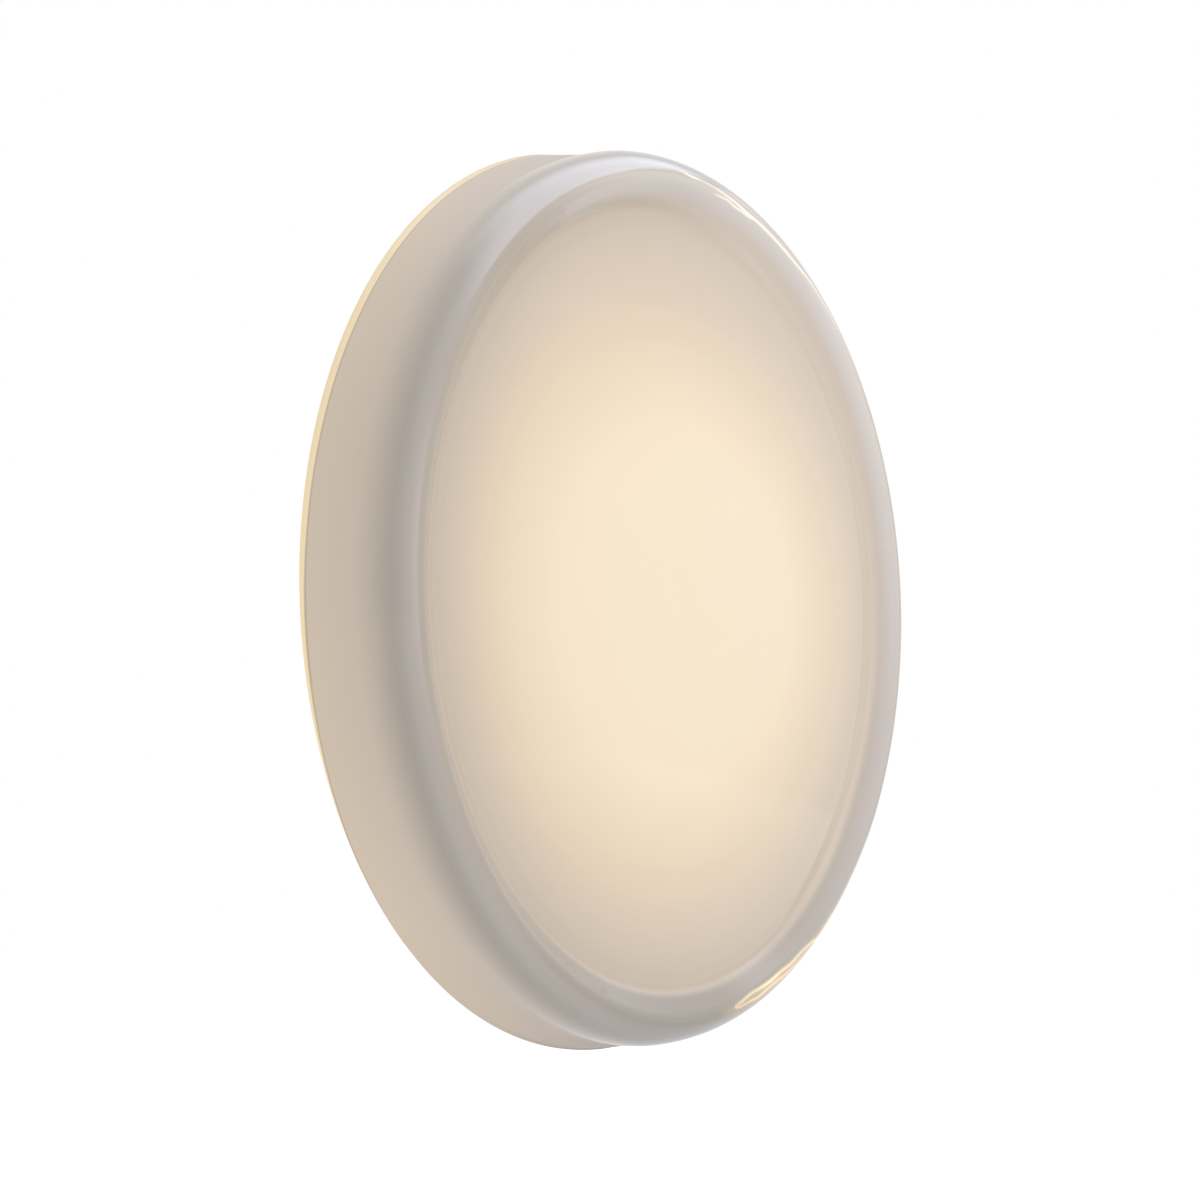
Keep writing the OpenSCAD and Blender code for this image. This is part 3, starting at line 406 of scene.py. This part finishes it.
def opalGlassMaterial(glow):
    # flashed opal glass, mouth blown and fire polished: a clear glossy skin over a milky
    # layer that sends back about half of the light and glows warm where lamps shine through; that glow is
    # painted light, emission by place on the glass, with painted shade, highlights and glints in it
    material, tree = newMaterial("opalGlass")
    place = addNode(tree, "ShaderNodeTexCoord").outputs["Object"]
    across, outward, height = addNode(tree, "ShaderNodeSeparateXYZ", None, {0: place}).outputs
    flat = addNode(tree, "ShaderNodeVectorMath", {"operation": "MULTIPLY"},
                   {0: place, 1: (1000.0, 0.0, 1000.0)})
    radius = addNode(tree, "ShaderNodeVectorMath", {"operation": "LENGTH"}, {0: flat.outputs[0]}).outputs[1]
    depth = addNode(tree, "ShaderNodeMath", {"operation": "MULTIPLY"}, {0: outward, 1: -1000.0}).outputs[0]
    around = addNode(tree, "ShaderNodeMath", {"operation": "ARCTAN2"}, {0: height, 1: across})
    around = addNode(tree, "ShaderNodeMath", {"operation": "DEGREES"}, {0: around.outputs[0]}).outputs[0]
    # the changes over the glass: what each follows, over which span, how it runs, and from what to what
    changes = {}
    for name, value, span, way, ends in (
            ("trueMiddle", radius, glow["toTrueMiddle"], "SMOOTHSTEP", (0.0, 1.0)),
            ("flank", radius, glow["toFlank"], "LINEAR", (0.0, 1.0)),
            ("flankMiddle", radius, glow["flankAt"], "LINEAR", glow["flankMiddle"]),
            ("flankReach", radius, glow["flankAt"], "LINEAR", glow["flankReach"]),
            ("rimShare", radius, glow["toShare"], "SMOOTHSTEP", (0.0, 1.0)),
            ("side", radius, glow["toSide"], "SMOOTHSTEP", (0.0, 1.0)),
            ("tilt", depth, glow["footGlowDepth"], "SMOOTHSTEP", (0.0, 1.0)),
            ("under", depth, glow["underDepth"], "LINEAR", (glow["under"], 1.0)),
            ("streaks", depth, glow["streakDepth"], "LINEAR", (0.0, 1.0)),
            ("skin", depth, glow["skinDepth"], "SMOOTHSTEP", glow["skin"]),
            ("skinRough", depth, glow["skinDepth"], "SMOOTHSTEP", glow["skinRough"]),
            ("top", height, glow["topHeight"], "LINEAR", (1.0, glow["topShare"]))):
        changes[name] = addNode(tree, "ShaderNodeMapRange", {"interpolation_type": way}, {
            "Value": value, "From Min": span[0], "From Max": span[1],
            "To Min": ends[0], "To Max": ends[1]}).outputs[0]
    # the glow's own middle holds over the face, and the rim takes the true radius
    aimed = addNode(tree, "ShaderNodeVectorMath", {"operation": "SUBTRACT"}, {0: place, 1: glow["middle"]})
    aimed = addNode(tree, "ShaderNodeVectorMath", {"operation": "MULTIPLY"},
                    {0: aimed.outputs[0], 1: glow["squash"]})
    aimed = addNode(tree, "ShaderNodeVectorMath", {"operation": "LENGTH"}, {0: aimed.outputs[0]})
    reach = addNode(tree, "ShaderNodeMix", None, {0: changes["trueMiddle"], 2: aimed.outputs[1], 3: radius})
    # the foot's painted line of light is wider at the top than at the bottom
    tilt = drawnAlong(tree, height, glow["wholeHeight"], glow["footTilt"],
                      (-glow["footGlowMost"], glow["footGlowMost"]))
    tilt = addNode(tree, "ShaderNodeMath", {"operation": "MULTIPLY"}, {0: tilt, 1: changes["tilt"]})
    level = addNode(tree, "ShaderNodeMath", {"operation": "SUBTRACT"}, {0: depth, 1: tilt.outputs[0]})
    tones = {}
    for name, value, span, way in (("face", reach, glow["faceSpan"], "CARDINAL"),
                                   ("rim", reach, glow["faceSpan"], "LINEAR"),
                                   ("side", level, glow["sideSpan"], "LINEAR")):
        step = addNode(tree, "ShaderNodeMath", {"operation": "DIVIDE"}, {0: value.outputs[0], 1: span})
        ramp = addNode(tree, "ShaderNodeValToRGB", None, {0: step.outputs[0]})
        setStops(ramp, [(mm / span, linearColour(tone)) for mm, tone in glow[name]], way)
        tones[name] = ramp.outputs[0]
    # the right half of the rim has its own tones, painted light and reflection on its inner flank, and the
    # share of the whole rim follows the angle
    off = addNode(tree, "ShaderNodeMath", {"operation": "SUBTRACT"}, {0: around, 1: changes["flankMiddle"]})
    off = addNode(tree, "ShaderNodeMath", {"operation": "ABSOLUTE"}, {0: off.outputs[0]})
    off = addNode(tree, "ShaderNodeMath", {"operation": "SUBTRACT"},
                  {0: off.outputs[0], 1: changes["flankReach"]})
    onFlank = addNode(tree, "ShaderNodeMapRange", {"interpolation_type": "SMOOTHSTEP"},
                      {"Value": off.outputs[0], "From Min": glow["flankEdge"], "From Max": -glow["flankEdge"]})
    onFlank = addNode(tree, "ShaderNodeMath", {"operation": "MULTIPLY"},
                      {0: onFlank.outputs[0], 1: changes["flank"]})
    face = addNode(tree, "ShaderNodeMix", {"data_type": "RGBA"},
                   {0: onFlank.outputs[0], 6: tones["face"], 7: tones["rim"]})
    share = drawnAlong(tree, around, (-180.0, 180.0), glow["rimShare"])
    share = addNode(tree, "ShaderNodeMix", None, {0: changes["rimShare"], 2: 1.0, 3: share})
    face = addNode(tree, "ShaderNodeVectorMath", {"operation": "SCALE"},
                   {0: face.outputs[2], "Scale": share.outputs[0]})
    # the two lamps lie left and right, so the side wall glows less at the top and the bottom
    sideways = addNode(tree, "ShaderNodeMath", {"operation": "ABSOLUTE"}, {0: across})
    share = drawnAlong(tree, sideways.outputs[0], glow["wholeSide"], glow["sideShare"])
    # the top is painted darker than the bottom, and the underside of the foot gets painted shade
    for factor in (changes["top"], changes["under"]):
        share = addNode(tree, "ShaderNodeMath", {"operation": "MULTIPLY"}, {0: share, 1: factor}).outputs[0]
    side = addNode(tree, "ShaderNodeVectorMath", {"operation": "SCALE"}, {0: tones["side"], "Scale": share})
    total = addNode(tree, "ShaderNodeMix", {"data_type": "RGBA"},
                    {0: changes["side"], 6: face.outputs[0], 7: side.outputs[0]}).outputs[2]
    # each streak of painted highlight and glint is a soft line whose radius and strength follow the angle round
    # the light
    for width, tint, points in glow["streaks"]:
        span = (points[0][0], points[-1][0])
        centre = drawnAlong(tree, around, span, [(degrees, mm) for degrees, mm, bright in points],
                            glow["streakRadii"])
        strength = drawnAlong(tree, around, span, [(degrees, bright) for degrees, mm, bright in points])
        off = addNode(tree, "ShaderNodeMath", {"operation": "SUBTRACT"}, {0: radius, 1: centre})
        off = addNode(tree, "ShaderNodeMath", {"operation": "DIVIDE"}, {0: off.outputs[0], 1: width})
        off = addNode(tree, "ShaderNodeMath", {"operation": "MULTIPLY"}, {0: off.outputs[0], 1: off.outputs[0]})
        off = addNode(tree, "ShaderNodeMath", {"operation": "MULTIPLY"}, {0: off.outputs[0], 1: -1.0})
        line = addNode(tree, "ShaderNodeMath", {"operation": "EXPONENT"}, {0: off.outputs[0]}).outputs[0]
        for factor in (strength, changes["streaks"]):
            line = addNode(tree, "ShaderNodeMath", {"operation": "MULTIPLY"}, {0: line, 1: factor}).outputs[0]
        tinted = addNode(tree, "ShaderNodeVectorMath", {"operation": "SCALE"},
                         {0: linearColour(tint)[:3], "Scale": line})
        total = addNode(tree, "ShaderNodeVectorMath", {"operation": "ADD"},
                        {0: total, 1: tinted.outputs[0]}).outputs[0]
    # the milky layer is a little uneven, in soft clouds
    clouds = addNode(tree, "ShaderNodeTexNoise", None,
                     {"Vector": place, "Scale": perMetre(glow["cloudMm"]), "Detail": 2.0})
    milk = addNode(tree, "ShaderNodeMix", {"data_type": "RGBA"},
                   {0: clouds.outputs[0], 6: linearColour(glow["milk"][0]), 7: linearColour(glow["milk"][1])})
    # the milk itself is matt; the clear skin over it gives the gloss and holds back the glow at its edges, and
    # it is glossier on the fire polished face than on the side wall, which was pressed against the mould
    surface = addNode(tree, "ShaderNodeBsdfPrincipled", None, {
        "Base Color": milk.outputs[2], "Roughness": glow["milkRough"], "IOR": glow["index"],
        "Specular IOR Level": 0.0, "Coat Weight": changes["skin"], "Coat Roughness": changes["skinRough"],
        "Coat IOR": glow["index"], "Emission Color": total, "Emission Strength": 1.0})
    addNode(tree, "ShaderNodeOutputMaterial", None, {"Surface": surface.outputs[0]})
    return material


shade = grownMesh(sectionCurve(shadeSection(shadeSize), "shadeSection"), revolveTree(shadeSize), {
    "Turns": shadeSize["turns"], "Wave Height": shadeSize["waveHeight"], "Wave Length": shadeSize["waveLength"],
    "Seed": shadeSize["waveSeed"], "Glass": opalGlassMaterial(shadeGlow)}, "opalShade")
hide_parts("glass_shade")
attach(shade, "shade")

# everything behind the glass keeps its CAD shape and takes the look of its real material
print("materials")

# what these finishes share: the grain's detail, the part of the slow drift that counts, how a stripe bends and
# how soft its edges are, and how much a glow varies
finish = {"grainDetail": 3.0, "grainRough": 0.55, "driftPart": (0.3, 0.7), "stripeBend": 0.6,
          "stripeEdge": (0.46, 0.54), "glowSpread": 0.2}


def workedMaterial(look):  # two tones in a grain of real size, with uneven roughness and a fine relief
    material, tree = newMaterial(look["name"])
    place = addNode(tree, "ShaderNodeTexCoord").outputs["Object"]
    drawn = addNode(tree, "ShaderNodeVectorMath", {"operation": "MULTIPLY"},
                    {0: place, 1: look.get("stretch", (1.0, 1.0, 1.0))})
    grain = addNode(tree, "ShaderNodeTexNoise", None, {
        "Vector": drawn.outputs[0], "Scale": perMetre(look["grainMm"]), "Detail": finish["grainDetail"],
        "Roughness": finish["grainRough"]})
    drift = addNode(tree, "ShaderNodeTexNoise", None,
                    {"Vector": place, "Scale": perMetre(look["driftMm"]), "Detail": 1.0})
    share = grain.outputs[0]
    if look.get("crystals"):
        pattern = addNode(tree, "ShaderNodeTexVoronoi", None,
                          {"Vector": drawn.outputs[0], "Scale": perMetre(look["grainMm"])})
        share = addNode(tree, "ShaderNodeSeparateColor", None, {0: pattern.outputs["Color"]}).outputs[0]
    colour = addNode(tree, "ShaderNodeMix", {"data_type": "RGBA"}, {
        0: share, 6: linearColour(look["tones"][0]), 7: linearColour(look["tones"][1])}).outputs[2]
    if "stripe" in look:
        bands = addNode(tree, "ShaderNodeTexWave", {"bands_direction": "DIAGONAL"}, {
            "Vector": place, "Scale": perMetre(look["stripeMm"]) / math.tau,
            "Distortion": finish["stripeBend"]})
        edge = addNode(tree, "ShaderNodeMapRange", None, {
            "Value": bands.outputs[1], "From Min": finish["stripeEdge"][0],
            "From Max": finish["stripeEdge"][1]})
        colour = addNode(tree, "ShaderNodeMix", {"data_type": "RGBA"},
                         {0: edge.outputs[0], 6: colour, 7: linearColour(look["stripe"])}).outputs[2]
    rough = addNode(tree, "ShaderNodeMapRange", None, {
        "Value": drift.outputs[0], "From Min": finish["driftPart"][0], "From Max": finish["driftPart"][1],
        "To Min": look["rough"][0], "To Max": look["rough"][1]})
    relief = addNode(tree, "ShaderNodeBump", None, {
        "Height": grain.outputs[0], "Strength": 1.0, "Distance": look["reliefMm"] / 1000})
    surface = addNode(tree, "ShaderNodeBsdfPrincipled", None, {
        "Base Color": colour, "Roughness": rough.outputs[0], "Metallic": look.get("metal", 0.0),
        "Normal": relief.outputs[0]})
    if "clear" in look:
        surface.inputs["Transmission Weight"].default_value = 1.0
        surface.inputs["IOR"].default_value = look["clear"]
    if "glow" in look:
        tint, strength = look["glow"]
        warmth = addNode(tree, "ShaderNodeMapRange", None, {
            "Value": grain.outputs[0], "To Min": strength * (1 - finish["glowSpread"]),
            "To Max": strength * (1 + finish["glowSpread"])})
        surface.inputs["Emission Color"].default_value = linearColour(tint)
        tree.links.new(warmth.outputs[0], surface.inputs["Emission Strength"])
    addNode(tree, "ShaderNodeOutputMaterial", None, {"Surface": surface.outputs[0]})
    return material


def dress(look, *names):
    material = workedMaterial(look)
    for name in names:
        nodes[name].material_slots[0].material = material


# pressed sheet steel under white stove enamel: even, half gloss, with a faint orange peel
plateLook = {"name": "stoveEnamelledSteel", "tones": ("edece8", "f2f1ed"), "grainMm": 1.5, "driftMm": 60,
             "rough": (0.34, 0.45), "reliefMm": 0.02}
dress(plateLook, "wall_plate")

# moulded silicone band: matt and milky, and it gathers a little dust
gasketLook = {"name": "mouldedSilicone", "tones": ("cfcec8", "dddcd6"), "grainMm": 0.8, "driftMm": 20,
              "rough": (0.5, 0.68), "reliefMm": 0.01}
dress(gasketLook, "edge_gasket")

# hardened spring strip with ground faces: grey and bright, with fine lines from the grinding
springLook = {"name": "groundSpringSteel", "tones": ("85817a", "a09b93"), "grainMm": 0.5,
              "stretch": (0.08, 1.0, 0.08), "driftMm": 8, "rough": (0.2, 0.36), "reliefMm": 0.003, "metal": 1.0}
dress(springLook, "retaining_springs")

# zinc-plated, blue-passivated steel: cool, with small crystal patches of slightly different grey
zincLook = {"name": "zincPlatedSteel", "tones": ("b9bfc5", "c6cacd"), "grainMm": 0.7, "crystals": True,
            "driftMm": 6, "rough": (0.22, 0.4), "reliefMm": 0.004, "metal": 1.0}
dress(zincLook, "spring_rivets", "lamp_bracket", "bracket_screws", "holder_screws", "block_screw",
      "earth_washer")

# pressed and fired steatite: off-white, dry, with a grain that can just be seen
steatiteLook = {"name": "firedSteatite", "tones": ("e3decf", "f1eee4"), "grainMm": 0.4, "driftMm": 9,
                "rough": (0.52, 0.72), "reliefMm": 0.012}
dress(steatiteLook, "lamp_holders")

# turned brass: warm, slightly browned where hands and air have been
brassLook = {"name": "turnedBrass", "tones": ("a9853f", "cbaa60"), "grainMm": 2.5, "driftMm": 3,
             "rough": (0.18, 0.38), "reliefMm": 0.003, "metal": 1.0}
dress(brassLook, "socket_contacts", "terminal_sleeves", "terminal_screws")

# drawn quartz tube: water clear, with faint draw lines along its length
quartzLook = {"name": "drawnQuartz", "tones": ("fbfcfd", "ffffff"), "grainMm": 0.6,
              "stretch": (0.05, 1.0, 1.0), "driftMm": 6, "rough": (0.0, 0.03), "reliefMm": 0.001, "clear": 1.46}
dress(quartzLook, "lamp_capsules")

# drawn nickel wire, dulled by heat
nickelLook = {"name": "drawnNickelWire", "tones": ("a39c8e", "bfb8aa"), "grainMm": 0.3,
              "stretch": (0.1, 1.0, 1.0), "driftMm": 3, "rough": (0.25, 0.42), "reliefMm": 0.002, "metal": 1.0}
dress(nickelLook, "lamp_pins")

# coiled tungsten at working heat: dark grey metal that glows yellow-white
tungstenLook = {"name": "litTungstenCoil", "tones": ("5f5a57", "7a7571"), "grainMm": 0.25, "driftMm": 2,
                "rough": (0.3, 0.45), "reliefMm": 0.004, "metal": 1.0, "glow": ("ffca80", 1.5)}
dress(tungstenLook, "lamp_filaments")

# injection-moulded nylon: warm white and waxy
nylonLook = {"name": "mouldedNylon", "tones": ("dcd7c8", "e8e4d8"), "grainMm": 1.2, "driftMm": 12,
             "rough": (0.36, 0.5), "reliefMm": 0.008}
dress(nylonLook, "terminal_block")

# moulded rubber with a bloom of wax: almost black, matt, greyer in patches
rubberLook = {"name": "mouldedRubber", "tones": ("1a1a1b", "2b2b2c"), "grainMm": 0.7, "driftMm": 5,
              "rough": (0.52, 0.78), "reliefMm": 0.015}
dress(rubberLook, "cable_grommet")

# extruded silicone insulation, half matt and faintly ribbed by the die: brown live, blue neutral, and green
# and yellow earth
leadLook = {"grainMm": 0.9, "driftMm": 10, "rough": (0.34, 0.46), "reliefMm": 0.006}
dress({**leadLook, "name": "brownSilicone", "tones": ("573722", "6b472f")}, "live_leads")
dress({**leadLook, "name": "blueSilicone", "tones": ("2c64a0", "3a7abb")}, "neutral_leads")
dress({**leadLook, "name": "greenYellowSilicone", "tones": ("37873b", "459a49"), "stripe": "e6d23a",
       "stripeMm": 5.0}, "earth_lead")

# hot-tinned copper tag: soft silver with slow waves of solder
tinnedLook = {"name": "tinnedCopper", "tones": ("bcb8ae", "d2d1cc"), "grainMm": 2.2, "driftMm": 4,
              "rough": (0.24, 0.42), "reliefMm": 0.01, "metal": 1.0}
dress(tinnedLook, "earth_tag")

# steel screw, passivated green to mark the earth: half bright, with a film of uneven depth
greenLook = {"name": "greenPassivatedSteel", "tones": ("37754a", "468a5a"), "grainMm": 0.8, "driftMm": 3,
             "rough": (0.28, 0.4), "reliefMm": 0.006}
dress(greenLook, "earth_screw")

# floor, light and world
print("floor and light")
studio = {
    "floorDepth": 0.9, "floorHalf": 9.0, "paper": ("d6d6d6", "dadada"), "paperRough": 0.9, "paperSheen": 0.1,
    "fibreMm": 3,
    # how much the paper is lifted to white, between these distances in metres from the light: less near it,
    # where the lamps already whiten the paper and the light's shadow falls
    "lift": (0.42, 0.75), "liftFrom": (1.2, 4.5),
    "worldLevel": 0.62,  # light that the world gives, where 1 is what the eye sees
}
white = (1.0, 1.0, 1.0, 1.0)


def paperMaterial():
    # white studio paper: matt, and lifted to white for the eye while it keeps its shadow
    material, tree = newMaterial("studioPaper")
    place = addNode(tree, "ShaderNodeTexCoord").outputs["Object"]
    fibre = addNode(tree, "ShaderNodeTexNoise", None,
                    {"Vector": place, "Scale": perMetre(studio["fibreMm"]), "Detail": 4.0})
    tone = addNode(tree, "ShaderNodeMix", {"data_type": "RGBA"}, {
        0: fibre.outputs[0], 6: linearColour(studio["paper"][0]), 7: linearColour(studio["paper"][1])})
    away = addNode(tree, "ShaderNodeVectorMath", {"operation": "LENGTH"}, {0: place})
    wanted = addNode(tree, "ShaderNodeMapRange", {"interpolation_type": "SMOOTHSTEP"}, {
        "Value": away.outputs[1], "From Min": studio["liftFrom"][0], "From Max": studio["liftFrom"][1],
        "To Min": studio["lift"][0], "To Max": studio["lift"][1]})
    lift = addNode(tree, "ShaderNodeMath", {"operation": "MULTIPLY"},
                   {0: seenByEye(tree), 1: wanted.outputs[0]})
    surface = addNode(tree, "ShaderNodeBsdfPrincipled", None, {
        "Base Color": tone.outputs[2], "Roughness": studio["paperRough"], "Emission Color": white,
        "Specular IOR Level": studio["paperSheen"], "Emission Strength": lift.outputs[0]})
    addNode(tree, "ShaderNodeOutputMaterial", None, {"Surface": surface.outputs[0]})
    return material


half, floorLow = studio["floorHalf"], -studio["floorDepth"]
corners = ((-half, -half), (half, -half), (half, half), (-half, half))
floorMesh = bpy.data.meshes.new("studioFloor")
floorMesh.from_pydata([(across, back, floorLow) for across, back in corners], [], [(0, 1, 2, 3)])
floorMesh.materials.append(paperMaterial())
floor = bpy.data.objects.new("studioFloor", floorMesh)
scene.collection.objects.link(floor)

world = bpy.data.worlds.new("studioWorld")
scene.world = world
world.use_nodes = True
world.node_tree.nodes.clear()
level = addNode(world.node_tree, "ShaderNodeMapRange", None,
                {"Value": seenByEye(world.node_tree), "To Min": studio["worldLevel"], "To Max": 1.0})
sky = addNode(world.node_tree, "ShaderNodeBackground", None, {"Color": white, "Strength": level.outputs[0]})
addNode(world.node_tree, "ShaderNodeOutputWorld", None, {"Surface": sky.outputs[0]})

# soft boxes: where each hangs and what it points at in metres, its size, brightness against white
# paper, tint, and how much of its width and height fades out
softBoxes = {
    "overheadBox": {"place": (0.7, -0.5, 1.3), "aim": (0.7, -0.5, 0.0), "size": (2.4, 1.9), "bright": 2.6,
                    "tint": "dfe7ff", "edge": (0.55, 0.55)},
    "fillBox": {"place": (-0.5, -1.5, 0.2), "aim": (0.0, 0.0, 0.0), "size": (1.4, 1.8), "bright": 1.3,
                "tint": "ffffff", "edge": (0.9, 0.9)},
}


def softBoxNodes(lamp, box):  # cloth front: even in the middle, fading towards the frame
    lamp.use_nodes = True
    tree = lamp.node_tree
    tree.nodes.clear()
    across = addNode(tree, "ShaderNodeNewGeometry").outputs["Parametric"]
    sides = addNode(tree, "ShaderNodeSeparateXYZ", None, {0: across})
    fades = []
    for side, edge in zip(sides.outputs, box["edge"]):
        off = addNode(tree, "ShaderNodeMath", {"operation": "SUBTRACT"}, {0: side, 1: 0.5})
        off = addNode(tree, "ShaderNodeMath", {"operation": "ABSOLUTE"}, {0: off.outputs[0]})
        fades.append(addNode(tree, "ShaderNodeMapRange", {"interpolation_type": "SMOOTHSTEP"},
                             {"Value": off.outputs[0], "From Min": 0.5, "From Max": 0.5 * (1 - edge)}))
    fade = addNode(tree, "ShaderNodeMath", {"operation": "MULTIPLY"},
                   {0: fades[0].outputs[0], 1: fades[1].outputs[0]})
    cloth = addNode(tree, "ShaderNodeEmission", None, {"Color": white, "Strength": fade.outputs[0]})
    addNode(tree, "ShaderNodeOutputLight", None, {"Surface": cloth.outputs[0]})


for name, box in softBoxes.items():
    lamp = bpy.data.lights.new(name, "AREA")
    lamp.shape = "RECTANGLE"
    lamp.size, lamp.size_y = box["size"]
    lamp.energy = box["bright"] * math.pi * box["size"][0] * box["size"][1]
    lamp.color = linearColour(box["tint"])[:3]
    softBoxNodes(lamp, box)
    holder = bpy.data.objects.new(name, lamp)
    holder.location = box["place"]
    holder.rotation_euler = aimedAt(box["place"], box["aim"])
    holder.visible_camera = False
    scene.collection.objects.link(holder)

scene.view_settings.view_transform = "Standard"
